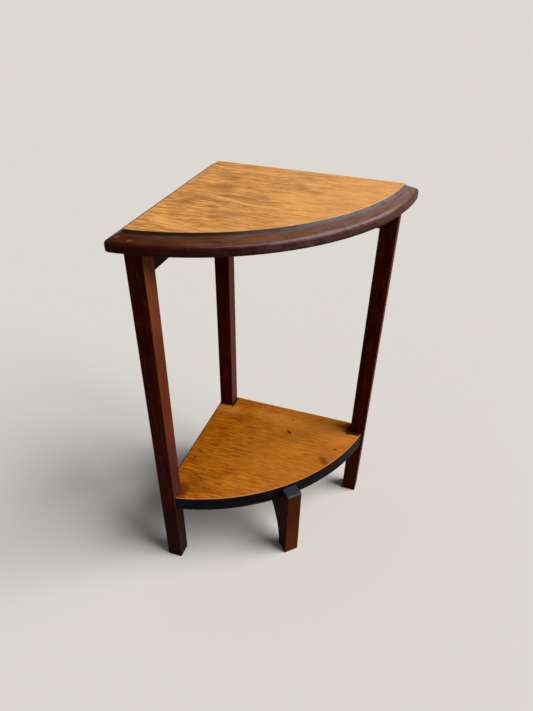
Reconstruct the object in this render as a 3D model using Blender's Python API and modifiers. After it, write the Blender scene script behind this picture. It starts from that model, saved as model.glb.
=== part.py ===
"""Corner plant stand.

A quarter-round top board with a raised centre and a moulded edge stands on three square legs, with a rail
under each straight side. A quarter-round shelf is notched round the legs, and a tapered foot carries the
middle of its round edge.

The corner of the room is at -X and +Y, and Z is up. The origin is on the floor, under the middle of the top.
Lengths are in metres.
"""

import math

import bmesh
import bpy

# Top board
TOP_SIDE = 0.275
TOP_ARC_RADIUS = 0.288
TOP_HEIGHT = 0.5215
TOP_THICKNESS = 0.020

# Moulded edge of the top, from its raised centre outwards
EDGE_WIDTH = 0.0155
RIM_ROUND = 0.0006
FILLET_RUN = 0.0015
FILLET_DROP = 0.003
SLOPE_ANGLE = math.radians(26)
NOSE_RADIUS = 0.0095
UNDERSIDE_CHAMFER = 0.001

# Frame under the top
WALL_OVERHANG = 0.0125
TIP_OVERHANG = 0.0155
LEG_WIDTH = 0.022
LEG_ARRIS = 0.001
RAIL_DEPTH = 0.034
RAIL_THICKNESS = 0.016
RAIL_SETBACK = 0.002
RAIL_ARRIS = 0.0008
TENON_THICKNESS = 0.008
TENON_SHOULDER = 0.005
TENON_SPACE = 0.001

# Shelf. Its round edge, carried on, would pass the outer faces of the frame by the overshoot.
SHELF_HEIGHT = 0.1315
SHELF_THICKNESS = 0.021
SHELF_ARC_RADIUS = 0.291
SHELF_OVERSHOOT = 0.0016
SHELF_ARRIS = 0.0012

# Front foot, measured along the diagonal from the corner of the room
FOOT_WIDTH = 0.0215
FOOT_PROUD = 0.0185
FOOT_FLOOR_DEPTH = 0.022
FOOT_TOP_DROP = 0.0035
FOOT_FRONT_RADIUS = 0.003
FOOT_CURVE_RADIUS = 0.105
FOOT_CURVE_ANGLE = math.radians(40)
FOOT_ARRIS = 0.0008

# Countersunk wood screws
SCREW_HEAD_RADIUS = 0.0038
SCREW_HEAD_RIM = 0.0004
SCREW_HEAD_DEPTH = 0.0026
SCREW_SHANK_RADIUS = 0.002
SCREW_TIP = 0.005
SCREW_SINK = 0.0004
RAIL_SCREW_RECESS = 0.014
RAIL_SCREW_END_DISTANCE = 0.045
RAIL_SCREW_BITE = 0.012
SHELF_SCREW_BITE = 0.018
SHELF_SCREW_INSET = 0.0065
SHELF_SCREW_STAGGER = 0.004

# Dowels
DOWEL_CHAMFER = 0.0006
LEG_DOWEL_RADIUS = 0.003
LEG_DOWEL_INSET = 0.0085
LEG_DOWEL_DEPTH = 0.018
LEG_DOWEL_BITE = 0.012
FOOT_DOWEL_RADIUS = 0.003
FOOT_DOWEL_SEAT_SHARES = {"front": 0.19, "rear": 0.56}
FOOT_DOWEL_DEPTH = 0.018
FOOT_DOWEL_BITE = 0.013

# Fits, and how far a cutter runs past what it cuts
CLEARANCE = 0.0003
CUT_PAST = 0.002
MERGE_DISTANCE = 0.00001

# How finely curves are divided
ARC_STEPS = 48
NOSE_STEPS = 8
RIM_STEPS = 2
FOOT_CURVE_STEPS = 10
FOOT_FRONT_STEPS = 4
ARRIS_STEPS = 2
TURNED_STEPS = 16
SMOOTH_ANGLE = math.radians(30)

# Ways that a screw can point, as rotations of one that points down
POINTING_UP = (math.pi, 0, 0)
POINTING_RIGHT = (0, -math.pi / 2, 0)
POINTING_FORWARD = (-math.pi / 2, 0, 0)

# Colours, as sRGB
WORN_ORANGE = "c98f4a"
SHELF_ORANGE = "b0681c"
DARK_STAIN = "38190f"
RED_STAIN = "3a140a"
BARE_BEECH = "c9a878"
ZINC_STEEL = "a9abad"

# Places that follow from the sizes. Along X the side plane comes first, and along Y the back plane.
HALF_TOP = TOP_SIDE / 2
FRAME_CORNER = HALF_TOP - WALL_OVERHANG
FRAME_TIP = HALF_TOP - TIP_OVERHANG
SHELF_SIDE = FRAME_CORNER + FRAME_TIP + SHELF_OVERSHOOT
FRAME_TOP = TOP_HEIGHT - TOP_THICKNESS - CLEARANCE
RAIL_BOTTOM = TOP_HEIGHT - TOP_THICKNESS - RAIL_DEPTH
SHELF_UNDERSIDE = SHELF_HEIGHT - SHELF_THICKNESS
SHELF_MIDDLE = SHELF_HEIGHT - SHELF_THICKNESS / 2
RAIL_MIDDLE = -FRAME_CORNER + RAIL_SETBACK + RAIL_THICKNESS / 2
TENON_LENGTH = LEG_WIDTH - RAIL_SETBACK - (RAIL_THICKNESS + TENON_THICKNESS) / 2 - TENON_SPACE

# Near and far ends of the gap between the back leg and the left leg, along Y
BACK_LEG_FRONT = FRAME_CORNER - LEG_WIDTH
LEFT_LEG_BACK = LEG_WIDTH - FRAME_TIP


def clear_scene():
    for obj in list(bpy.data.objects):
        bpy.data.objects.remove(obj)


def new_collection(name, hidden):
    collection = bpy.data.collections.new(name)
    bpy.context.scene.collection.children.link(collection)
    collection.hide_render = hidden
    return collection


def linear(channel):
    return channel / 12.92 if channel <= 0.04045 else ((channel + 0.055) / 1.055) ** 2.4


def colour_of(code):
    channels = [int(code[start : start + 2], 16) / 255 for start in (0, 2, 4)]
    return (*map(linear, channels), 1)


def new_material(name, code, roughness, metallic=0):
    material = bpy.data.materials.new(name)
    material.use_nodes = True
    shader = material.node_tree.nodes["Principled BSDF"]
    shader.inputs["Base Color"].default_value = colour_of(code)
    shader.inputs["Roughness"].default_value = roughness
    shader.inputs["Metallic"].default_value = metallic
    return material


def object_from(built, name, collection):
    """A new mesh object from a bmesh, which is freed."""
    mesh = bpy.data.meshes.new(name)
    built.to_mesh(mesh)
    built.free()
    obj = bpy.data.objects.new(name, mesh)
    collection.objects.link(obj)
    return obj


def across(x, y):
    """The same place on the other side of the stand, which is alike on both sides of its diagonal."""
    return -y, -x


def box_across(low, high):
    """The corners of a box, carried to the other side of the diagonal."""
    low_x, low_y = across(high[0], high[1])
    high_x, high_y = across(low[0], low[1])
    return (low_x, low_y, low[2]), (high_x, high_y, high[2])


def add_box(name, low, high, collection):
    built = bmesh.new()
    bmesh.ops.create_cube(built, size=1)
    for vertex in built.verts:
        for axis in range(3):
            vertex.co[axis] = high[axis] if vertex.co[axis] > 0 else low[axis]
    return object_from(built, name, collection)


def add_turned(name, profile, place, rotation, collection):
    """A solid turned about Z, from the profile's points of radius and height, listed from its top down."""
    mesh = bpy.data.meshes.new(name)
    vertices = [(radius, 0, height) for radius, height in profile]
    mesh.from_pydata(vertices, [(i, i + 1) for i in range(len(profile) - 1)], [])
    obj = bpy.data.objects.new(name, mesh)
    collection.objects.link(obj)
    turning = obj.modifiers.new("turn", "SCREW")
    turning.axis = "Z"
    turning.steps = TURNED_STEPS
    turning.render_steps = TURNED_STEPS
    turning.use_merge_vertices = True
    turning.merge_threshold = MERGE_DISTANCE
    turning.use_smooth_shade = True
    obj.location = place
    obj.rotation_euler = rotation
    return obj


def round_arrises(obj, width):
    bevel = obj.modifiers.new("arrises", "BEVEL")
    bevel.width = width
    bevel.segments = ARRIS_STEPS
    bevel.limit_method = "ANGLE"
    bevel.angle_limit = SMOOTH_ANGLE


def combine(obj, tool, operation):
    boolean = obj.modifiers.new(f"{operation.lower()} {tool.name}", "BOOLEAN")
    boolean.operation = operation
    boolean.solver = "EXACT"
    boolean.object = tool
    tool.display_type = "WIRE"
    tool.hide_render = True


def cut(obj, *cutters):
    for cutter in cutters:
        combine(obj, cutter, "DIFFERENCE")


def smooth(obj):
    obj.data.shade_smooth()
    obj.data.set_sharp_from_angle(angle=SMOOTH_ANGLE)


def centre_beyond_corner(side, radius):
    """How far past a board's corner, along X and along Y, the centre of its round edge lies."""
    return (math.sqrt(2 * radius**2 - side**2) - side) / 2


def quarter_outline(side, radius, inset, corner):
    """A quarter-round board's outline, anticlockwise from its left tip, drawn in by inset all round."""
    beyond = centre_beyond_corner(side, radius)
    reach = radius - inset
    first = math.asin((beyond + inset) / reach)
    last = math.pi / 2 - first
    points = []
    for step in range(ARC_STEPS + 1):
        turn = first + (last - first) * step / ARC_STEPS
        points.append((-corner - beyond + reach * math.sin(turn), corner + beyond - reach * math.cos(turn)))
    points.append((inset - corner, corner - inset))
    return points


def edge_profile():
    """The moulding as insets from the outermost line and heights, from the raised centre to the underside."""
    points = []
    for step in range(RIM_STEPS + 1):
        turn = math.pi / 2 * step / RIM_STEPS
        inset = EDGE_WIDTH + RIM_ROUND * (1 - math.sin(turn))
        points.append((inset, TOP_HEIGHT - RIM_ROUND * (1 - math.cos(turn))))
    fillet_inset = EDGE_WIDTH - FILLET_RUN
    fillet_height = TOP_HEIGHT - FILLET_DROP
    points.append((fillet_inset, fillet_height))
    nose_turn = math.pi / 2 - SLOPE_ANGLE
    nose_inset = NOSE_RADIUS * (1 - math.cos(nose_turn))
    nose_height = fillet_height - (fillet_inset - nose_inset) * math.tan(SLOPE_ANGLE)
    nose_centre = nose_height - NOSE_RADIUS * math.sin(nose_turn)
    for step in range(NOSE_STEPS + 1):
        turn = nose_turn * (1 - step / NOSE_STEPS)
        points.append((NOSE_RADIUS * (1 - math.cos(turn)), nose_centre + NOSE_RADIUS * math.sin(turn)))
    underside = TOP_HEIGHT - TOP_THICKNESS
    points.append((0, underside + UNDERSIDE_CHAMFER))
    points.append((UNDERSIDE_CHAMFER, underside))
    return points


def add_top_board(collection):
    """The moulding is carried round all three sides, so it meets in a mitre at each corner."""
    built = bmesh.new()
    rings = []
    for inset, height in edge_profile():
        outline = quarter_outline(TOP_SIDE, TOP_ARC_RADIUS, inset, HALF_TOP)
        rings.append([built.verts.new((x, y, height)) for x, y in outline])
    count = len(rings[0])
    for upper, lower in zip(rings, rings[1:]):
        for i in range(count):
            after = (i + 1) % count
            built.faces.new((lower[i], lower[after], upper[after], upper[i]))
    built.faces.new(rings[0])
    built.faces.new(reversed(rings[-1]))
    board = object_from(built, "top_board", collection)
    smooth(board)
    return board


def add_plate(name, points, thickness, collection):
    """A flat outline in the XY plane as a mesh, half its thickness to each side of the plane."""
    curve = bpy.data.curves.new(name, "CURVE")
    curve.dimensions = "2D"
    curve.fill_mode = "BOTH"
    curve.extrude = thickness / 2
    spline = curve.splines.new("POLY")
    spline.points.add(len(points) - 1)
    for point, (x, y) in zip(spline.points, points):
        point.co = (x, y, 0, 1)
    spline.use_cyclic_u = True
    drawn = bpy.data.objects.new(name, curve)
    collection.objects.link(drawn)
    graph = bpy.context.evaluated_depsgraph_get()
    mesh = bpy.data.meshes.new_from_object(drawn.evaluated_get(graph))
    bpy.data.objects.remove(drawn)
    bpy.data.curves.remove(curve)
    built = bmesh.new()
    built.from_mesh(mesh)
    bpy.data.meshes.remove(mesh)
    bmesh.ops.remove_doubles(built, verts=built.verts, dist=MERGE_DISTANCE)
    return object_from(built, name, collection)


def notch_box(low, high):
    """The hole in the shelf for a leg. An outer leg's runs out past the tip of the shelf."""
    past_tip = SHELF_OVERSHOOT + CUT_PAST
    front = past_tip if low[1] < 0 else CLEARANCE
    right = past_tip if high[0] > 0 else CLEARANCE
    return (
        (low[0] - CLEARANCE, low[1] - front, SHELF_UNDERSIDE - CUT_PAST),
        (high[0] + right, high[1] + CLEARANCE, SHELF_HEIGHT + CUT_PAST),
    )


def add_shelf(legs, cutters, collection):
    """The shelf's straight sides are flush with the legs, and it is notched round each of them."""
    outline = quarter_outline(SHELF_SIDE, SHELF_ARC_RADIUS, 0, FRAME_CORNER)
    shelf = add_plate("shelf", outline, SHELF_THICKNESS, collection)
    shelf.location.z = SHELF_MIDDLE
    round_arrises(shelf, SHELF_ARRIS)
    for name, box in legs.items():
        cut(shelf, add_box(f"{name}_notch", *notch_box(*box), cutters))
    smooth(shelf)
    return shelf


def leg_boxes():
    """Low and high corners of each leg."""
    inner = LEG_WIDTH - FRAME_CORNER
    back = ((-FRAME_CORNER, BACK_LEG_FRONT, 0), (inner, FRAME_CORNER, FRAME_TOP))
    left = ((-FRAME_CORNER, -FRAME_TIP, 0), (inner, LEFT_LEG_BACK, FRAME_TOP))
    return {"back_leg": back, "left_leg": left, "right_leg": box_across(*left)}


def add_legs(boxes, collection):
    legs = {}
    for name, (low, high) in boxes.items():
        legs[name] = add_box(name, low, high, collection)
        round_arrises(legs[name], LEG_ARRIS)
    return legs


def rail_boxes():
    """Low and high corners of the left rail, of the bar whose ends are its tenons, and of their mortises."""
    half_rail = RAIL_THICKNESS / 2
    half_tenon = TENON_THICKNESS / 2
    rail = (
        (RAIL_MIDDLE - half_rail, LEFT_LEG_BACK + CLEARANCE, RAIL_BOTTOM),
        (RAIL_MIDDLE + half_rail, BACK_LEG_FRONT - CLEARANCE, FRAME_TOP),
    )
    tenon = (
        (RAIL_MIDDLE - half_tenon, LEFT_LEG_BACK - TENON_LENGTH, RAIL_BOTTOM + TENON_SHOULDER),
        (RAIL_MIDDLE + half_tenon, BACK_LEG_FRONT + TENON_LENGTH, FRAME_TOP - TENON_SHOULDER),
    )
    mortise = (
        tuple(value - CLEARANCE for value in tenon[0]),
        tuple(value + CLEARANCE for value in tenon[1]),
    )
    return rail, tenon, mortise


def add_rail(name, boxes, end_leg, back_leg, cutters, collection):
    rail_box, tenon_box, mortise_box = boxes
    rail = add_box(name, *rail_box, collection)
    round_arrises(rail, RAIL_ARRIS)
    combine(rail, add_box(f"{name}_tenons", *tenon_box, cutters), "UNION")
    mortise = add_box(f"{name}_mortises", *mortise_box, cutters)
    cut(end_leg, mortise)
    cut(back_leg, mortise)
    return rail


def arc_points(centre, radius, first, last, steps):
    """Points along an arc, from its first turn to its last, both measured anticlockwise."""
    points = []
    for step in range(steps + 1):
        turn = first + (last - first) * step / steps
        points.append((centre[0] + radius * math.cos(turn), centre[1] + radius * math.sin(turn)))
    return points


def foot_seat_depth():
    """How far back the foot reaches under the shelf, where its back runs straight on from its curve."""
    curve_height = FOOT_CURVE_RADIUS * math.sin(FOOT_CURVE_ANGLE)
    curve_depth = FOOT_CURVE_RADIUS * (1 - math.cos(FOOT_CURVE_ANGLE))
    straight = (SHELF_UNDERSIDE - curve_height) * math.tan(FOOT_CURVE_ANGLE)
    return FOOT_FLOOR_DEPTH + curve_depth + straight


def foot_outline():
    """The foot's side view, as distances along the diagonal from its front face and heights."""
    top = SHELF_HEIGHT - FOOT_TOP_DROP
    seat = FOOT_PROUD - CLEARANCE
    under = SHELF_UNDERSIDE - CLEARANCE
    front = (FOOT_FRONT_RADIUS, top - FOOT_FRONT_RADIUS)
    back = (FOOT_FLOOR_DEPTH + FOOT_CURVE_RADIUS, 0)
    curve_top = math.pi - FOOT_CURVE_ANGLE
    return [
        (0, 0),
        *arc_points(front, FOOT_FRONT_RADIUS, math.pi, math.pi / 2, FOOT_FRONT_STEPS),
        (seat, top),
        (seat, under),
        (foot_seat_depth(), under),
        *arc_points(back, FOOT_CURVE_RADIUS, curve_top, math.pi, FOOT_CURVE_STEPS),
    ]


def diagonal_place(distance):
    """X and Y of a place on the diagonal, by its distance in front of the frame's corner."""
    along = distance / math.sqrt(2)
    return along - FRAME_CORNER, FRAME_CORNER - along


def foot_front():
    """Distance of the foot's front face from the frame's corner."""
    shelf_reach = SHELF_ARC_RADIUS - math.sqrt(2) * centre_beyond_corner(SHELF_SIDE, SHELF_ARC_RADIUS)
    return shelf_reach + FOOT_PROUD


def add_front_foot(collection):
    foot = add_plate("front_foot", foot_outline(), FOOT_WIDTH, collection)
    x, y = diagonal_place(foot_front())
    foot.location = (x, y, 0)
    foot.rotation_euler = (math.pi / 2, 0, math.pi * 3 / 4)
    round_arrises(foot, FOOT_ARRIS)
    return foot


def screw_profile(length):
    return [
        (0, 0),
        (SCREW_HEAD_RADIUS, 0),
        (SCREW_HEAD_RADIUS, -SCREW_HEAD_RIM),
        (SCREW_SHANK_RADIUS, -SCREW_HEAD_DEPTH),
        (SCREW_SHANK_RADIUS, SCREW_TIP - length),
        (0, -length),
    ]


def screw_hole_profile(length, recess):
    """The screw's own shape with clearance all round, opened upwards past its head."""
    opening = recess + CUT_PAST
    head = SCREW_HEAD_RADIUS + CLEARANCE
    shank = SCREW_SHANK_RADIUS + CLEARANCE
    return [
        (0, opening),
        (head, opening),
        (head, -SCREW_HEAD_RIM - CLEARANCE),
        (shank, -SCREW_HEAD_DEPTH - CLEARANCE),
        (shank, SCREW_TIP - length - CLEARANCE),
        (0, -length - CLEARANCE),
    ]


def add_screw(name, length, recess, place, rotation, pierced, cutters, collection):
    """A screw, and its hole through the pieces that it holds together."""
    screw = add_turned(name, screw_profile(length), place, rotation, collection)
    hole = add_turned(f"{name}_hole", screw_hole_profile(length, recess), place, rotation, cutters)
    for piece in pierced:
        cut(piece, hole)
    return screw


def dowel_profile(radius, below, above, clearance):
    """A dowel round height zero, with chamfered ends. clearance widens it for its hole."""
    wide = radius + clearance
    end = radius - DOWEL_CHAMFER
    top = above + clearance
    bottom = -below - clearance
    return [
        (0, top),
        (end, top),
        (wide, top - DOWEL_CHAMFER),
        (wide, bottom + DOWEL_CHAMFER),
        (end, bottom),
        (0, bottom),
    ]


def add_dowel(name, size, place, pierced, cutters, collection):
    """An upright dowel, its size given as radius, depth below place and bite above it, and its holes."""
    upright = (0, 0, 0)
    dowel = add_turned(name, dowel_profile(*size, 0), place, upright, collection)
    widened = dowel_profile(*size, CLEARANCE)
    hole = add_turned(f"{name}_hole", widened, place, upright, cutters)
    for piece in pierced:
        cut(piece, hole)
    return dowel


def add_rail_screws(rails, top_board, cutters, collection):
    """Two screws up through each rail into the top board, their heads sunk in the rail."""
    length = RAIL_DEPTH - RAIL_SCREW_RECESS + RAIL_SCREW_BITE
    height = RAIL_BOTTOM + RAIL_SCREW_RECESS
    ends = {
        "front": LEFT_LEG_BACK + RAIL_SCREW_END_DISTANCE,
        "rear": BACK_LEG_FRONT - RAIL_SCREW_END_DISTANCE,
    }
    screws = []
    for side, rail in rails.items():
        for end, y in ends.items():
            x = RAIL_MIDDLE
            if side == "back":
                x, y = across(x, y)
            name = f"{side}_rail_screw_{end}"
            place = (x, y, height)
            pierced = (rail, top_board)
            screws.append(
                add_screw(name, length, RAIL_SCREW_RECESS, place, POINTING_UP, pierced, cutters, collection)
            )
    return screws


def add_shelf_screws(legs, shelf, cutters, collection):
    """Screws through the legs' wall sides into the shelf. The back leg's two pass one above the other."""
    length = LEG_WIDTH - SCREW_SINK + SHELF_SCREW_BITE
    head = SCREW_SINK - FRAME_CORNER
    near_y = LEFT_LEG_BACK - SHELF_SCREW_INSET
    back_y = FRAME_CORNER - LEG_WIDTH / 2
    upper = SHELF_MIDDLE + SHELF_SCREW_STAGGER
    lower = SHELF_MIDDLE - SHELF_SCREW_STAGGER
    left_place = (head, near_y, SHELF_MIDDLE)
    right_place = (*across(head, near_y), SHELF_MIDDLE)
    side_place = (head, back_y, upper)
    rear_place = (*across(head, back_y), lower)
    wanted = [
        ("left_leg_screw", "left_leg", left_place, POINTING_RIGHT),
        ("right_leg_screw", "right_leg", right_place, POINTING_FORWARD),
        ("back_leg_screw_side", "back_leg", side_place, POINTING_RIGHT),
        ("back_leg_screw_rear", "back_leg", rear_place, POINTING_FORWARD),
    ]
    screws = []
    for name, leg, place, rotation in wanted:
        pierced = (legs[leg], shelf)
        screws.append(add_screw(name, length, SCREW_SINK, place, rotation, pierced, cutters, collection))
    return screws


def add_leg_dowels(legs, top_board, cutters, collection):
    """One dowel from the top of each outer leg into the top board, clear of the rail's mortise."""
    x = LEG_WIDTH / 2 - FRAME_CORNER
    y = LEG_DOWEL_INSET - FRAME_TIP
    height = TOP_HEIGHT - TOP_THICKNESS
    places = {"left": (x, y, height), "right": (*across(x, y), height)}
    size = (LEG_DOWEL_RADIUS, LEG_DOWEL_DEPTH, LEG_DOWEL_BITE)
    dowels = []
    for side, place in places.items():
        pierced = (legs[f"{side}_leg"], top_board)
        name = f"{side}_leg_dowel"
        dowels.append(add_dowel(name, size, place, pierced, cutters, collection))
    return dowels


def add_foot_dowels(foot, shelf, cutters, collection):
    """Two dowels from the foot's seat up into the shelf, spaced along the seat by its length."""
    shelf_edge = foot_front() - FOOT_PROUD
    seat_length = foot_seat_depth() - FOOT_PROUD
    size = (FOOT_DOWEL_RADIUS, FOOT_DOWEL_DEPTH, FOOT_DOWEL_BITE)
    dowels = []
    for end, share in FOOT_DOWEL_SEAT_SHARES.items():
        place = (*diagonal_place(shelf_edge - seat_length * share), SHELF_UNDERSIDE)
        pierced = (foot, shelf)
        name = f"foot_dowel_{end}"
        dowels.append(add_dowel(name, size, place, pierced, cutters, collection))
    return dowels


def dress(objects, material, root):
    """Gives the pieces their material and hangs them on the stand's empty."""
    for obj in objects:
        obj.data.materials.append(material)
        obj.parent = root


def main():
    clear_scene()
    parts = new_collection("corner_plant_stand", False)
    cutters = new_collection("cutters", True)
    root = bpy.data.objects.new("stand", None)
    parts.objects.link(root)

    boxes = leg_boxes()
    top_board = add_top_board(parts)
    legs = add_legs(boxes, parts)
    shelf = add_shelf(boxes, cutters, parts)
    foot = add_front_foot(parts)

    left_boxes = rail_boxes()
    back_boxes = [box_across(low, high) for low, high in left_boxes]
    rails = {
        "left": add_rail("left_rail", left_boxes, legs["left_leg"], legs["back_leg"], cutters, parts),
        "back": add_rail("back_rail", back_boxes, legs["right_leg"], legs["back_leg"], cutters, parts),
    }

    screws = add_rail_screws(rails, top_board, cutters, parts)
    screws += add_shelf_screws(legs, shelf, cutters, parts)
    dowels = add_leg_dowels(legs, top_board, cutters, parts)
    dowels += add_foot_dowels(foot, shelf, cutters, parts)

    dress([top_board], new_material("top wood", WORN_ORANGE, 0.45), root)
    dress([shelf], new_material("shelf wood", SHELF_ORANGE, 0.4), root)
    dress(legs.values(), new_material("leg wood", RED_STAIN, 0.4), root)
    dress(rails.values(), new_material("rail wood", DARK_STAIN, 0.6), root)
    dress([foot], new_material("foot wood", RED_STAIN, 0.4), root)
    dress(screws, new_material("zinc-plated steel", ZINC_STEEL, 0.35, 1), root)
    dress(dowels, new_material("bare beech", BARE_BEECH, 0.7), root)


main()
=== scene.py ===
"""Finish of the corner plant stand: its moulded top, notched shelf, stained legs, fixings and studio."""

import math
from typing import NamedTuple

import bmesh
import bpy
from bpy.props import FloatProperty, FloatVectorProperty, IntProperty, PointerProperty
from mathutils import Matrix, Vector, noise


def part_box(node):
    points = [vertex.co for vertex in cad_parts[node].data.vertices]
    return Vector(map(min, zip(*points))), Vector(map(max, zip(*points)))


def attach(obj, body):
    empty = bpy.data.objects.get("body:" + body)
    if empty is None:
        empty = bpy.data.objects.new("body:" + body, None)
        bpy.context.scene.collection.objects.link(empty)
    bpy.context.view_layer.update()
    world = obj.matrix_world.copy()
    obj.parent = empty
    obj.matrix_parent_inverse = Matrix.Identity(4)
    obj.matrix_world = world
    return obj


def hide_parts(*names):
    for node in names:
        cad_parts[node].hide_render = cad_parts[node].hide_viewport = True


bl_info = {
    "name": "Corner Plant Stand",
    "version": (1, 0, 0),
    "blender": (4, 5, 0),
    "location": "3D View > Sidebar > Stand",
    "description": "Dresses the corner plant stand in its turned, moulded and stained finish",
    "category": "Object",
}

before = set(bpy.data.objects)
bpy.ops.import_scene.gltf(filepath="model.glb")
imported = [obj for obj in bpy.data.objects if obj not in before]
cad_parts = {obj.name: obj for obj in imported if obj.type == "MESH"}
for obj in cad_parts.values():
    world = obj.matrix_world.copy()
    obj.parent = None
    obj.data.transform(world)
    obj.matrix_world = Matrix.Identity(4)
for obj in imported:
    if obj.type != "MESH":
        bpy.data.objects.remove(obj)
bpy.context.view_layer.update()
TOP_LOW, TOP_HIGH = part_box("top_board")
SHELF_LOW, SHELF_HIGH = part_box("shelf")
BODY = "root"

MM = 0.001
FULL_TURN = 2 * math.pi
MERGE_DISTANCE = 0.005 * MM
SMOOTH_ANGLE = math.radians(35)
FLAT_ANGLE = math.radians(0.5)
MITRE_ANGLE = math.radians(50)
MITRE_STEPS = 3
SLOPE_STEPS = 3
RIM_STEPS = 3
STRAY_LENGTH = 24 * MM
STRAY_BIAS = 0.3

# Materials: how rough each is, and how deep its grain or mottle
WOOD_IOR = 1.5
NOISE_ROUGHNESS = 0.6
GRAIN_RANGE = (0.3, 0.7)
GRAIN_SWAY = 20 * MM
GROWTH_SPACING = 7.5 * MM
UPRIGHT_GRAIN = (0, math.pi / 2, 0)
TOP_ROUGHNESS = (0.34, 0.46)
TOP_RELIEF = 0.08 * MM
SHELF_ROUGHNESS = (0.36, 0.46)
SHELF_RELIEF = 0.07 * MM
LEG_ROUGHNESS = (0.44, 0.58)
LEG_RELIEF = 0.06 * MM
RAIL_ROUGHNESS = 0.62
RAIL_RELIEF = 0.1 * MM
ZINC_ROUGHNESS = (0.28, 0.45)
ZINC_RELIEF = 0.01 * MM
BEECH_ROUGHNESS = 0.7
BEECH_RELIEF = 0.05 * MM
FLOOR_ROUGHNESS = 0.85
FLOOR_RELIEF = 0.02 * MM
FLOOR_GLOSS = 0.1
# How far the painted reflection on the boards, and the moulding's painted tones and wear, wander across X
GLEAM_SWAY = 100 * MM
EDGE_SWAY = 300 * MM

# The moulding's colours, among them its painted arris highlight, painted reflections and painted shade:
# stretches of X, and distances in from its edge or from the board's two faces
# Where the painted highlight runs along the arris, how far it spreads toward the right, and where it fades at
# the right tip
ARRIS_SHIFT = (30 * MM, 90 * MM)
ARRIS_INSETS = (1.4 * MM, 2.4 * MM)
ARRIS_SPREAD = (-80 * MM, 60 * MM)
ARRIS_TIP = (116 * MM, 134 * MM)
NOSE_DEPTHS = (7.8 * MM, 10 * MM)
NOSE_FOOT = (4.5 * MM, 1.5 * MM)
UNDERSIDE_HEIGHTS = (0.5 * MM, 0.2 * MM)
# How far the step line's colour reaches out over the incline, as painted shade beside the step and a painted
# reflection toward the right
STEP_INSETS = (12 * MM, 14.6 * MM)
RIM_BLEND = (-0.1 * MM, 0.2 * MM)
RIM_DEPTHS = (1.2 * MM, 0.6 * MM)
# Stretches of X for the step line's bluish painted reflection, its darker painted reflection at the tip, and
# painted shade over the moulding's right tip
STEP_REFLECTION = (-50 * MM, 100 * MM)
STEP_TIP_REFLECTION = (110 * MM, 132 * MM)
TIP_SHADE = (129 * MM, 137.5 * MM)

# The photograph's camera, solved from the stand's edges
PHOTO_HEIGHT = 711
SENSOR_WIDTH = 36
CAMERA_FOCAL_PIXELS = 563.09
CAMERA_CENTRE_RIGHT = 0.58
CAMERA_CENTRE_DOWN = 45.59
CAMERA_PLACE = Vector((0.1805, -0.5849, 0.7386))
CAMERA_AZIMUTH = math.radians(17.898)
CAMERA_PITCH = math.radians(38.861)
CAMERA_ROLL = math.radians(1.176)

FLOOR_RADIUS = 30
FLOOR_SEGMENTS = 64
KEY_COLOUR = (1.0, 0.985, 0.955)
SKY_COLOUR = (0.93, 0.965, 1.0)

# Screws: which way each points, and their form as shares of the head's radius
SCREWS = {
    "left_rail_screw_front": (0, 0, 1),
    "left_rail_screw_rear": (0, 0, 1),
    "back_rail_screw_front": (0, 0, 1),
    "back_rail_screw_rear": (0, 0, 1),
    "left_leg_screw": (1, 0, 0),
    "back_leg_screw_side": (1, 0, 0),
    "right_leg_screw": (0, -1, 0),
    "back_leg_screw_rear": (0, -1, 0),
}
SCREW_CORE_SHARE = 0.4
SCREW_RIM_SHARE = 0.1
SCREW_COUNTERSINK_SHARE = 0.7
SCREW_POINT_SHARE = 1.3

# The thread, as shares of the plain shank's length, of the core and, for its crest and width, of the pitch
THREAD_SHARE = 0.75
THREAD_ROOT_SHARE = 0.9
THREAD_CREST_SHARE = 0.3
THREAD_WIDTH_SHARE = 0.6

# How far the recess narrows toward its floor, and the other fixings
RECESS_TAPER_SHARE = 0.55
TURNED_STEPS = 32
THREAD_STEPS = 16
DOWEL_NODES = ("left_leg_dowel", "right_leg_dowel", "foot_dowel_front", "foot_dowel_rear")
DOWEL_CHAMFER = 0.6 * MM
FLUTES = 12
FLUTE_SIDES = 4
FLUTE_SHARE = 0.93

LEG_NODES = ("back_leg", "left_leg", "right_leg", "front_foot")
LEG_SEED = 60.0
RAIL_SEED = 90.0
FOOT_LEFT = -15.2 * MM
FOOT_FRONT = 108.3 * MM
CHIP_SIZE = (3 * MM, 1.6 * MM, 4 * MM)

# Painted light and reflection on each leg's side toward the window, by height: the heights where each starts
# and is full, its colour and its strength
LEG_SIDE_LIGHT = {
    "back_leg": [(0.10, 0.14, "lit_grey", 0.8)],
    "left_leg": [(0.11, 0.14, "sunlit", 0.4), (0.36, 0.50, "lit_high", 0.85), (0.265, 0.20, "lit_low", 0.85)],
}
# Low on the legs: painted shade under the shelf on the back and left legs, and a browner stain low on the
# right leg: the heights where each starts and is full, its colour and its strength
LOW_SHADE_AND_STAIN = {
    "back_leg": (SHELF_HIGH.z, SHELF_LOW.z - 10 * MM, "grime_and_shade", 0.75),
    "left_leg": (SHELF_HIGH.z, SHELF_LOW.z - 10 * MM, "grime_and_shade", 0.75),
    "right_leg": (SHELF_LOW.z, SHELF_LOW.z - 60 * MM, "brown", 0.35),
}
SMEARED_LEGS = ("back_leg", "right_leg")
LEG_CHIPS = {"left_leg": (-103, -110, 457)}
RAIL_GRAIN = {"left_rail": (0, 0, math.pi / 2), "back_rail": (0, 0, 0)}

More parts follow.
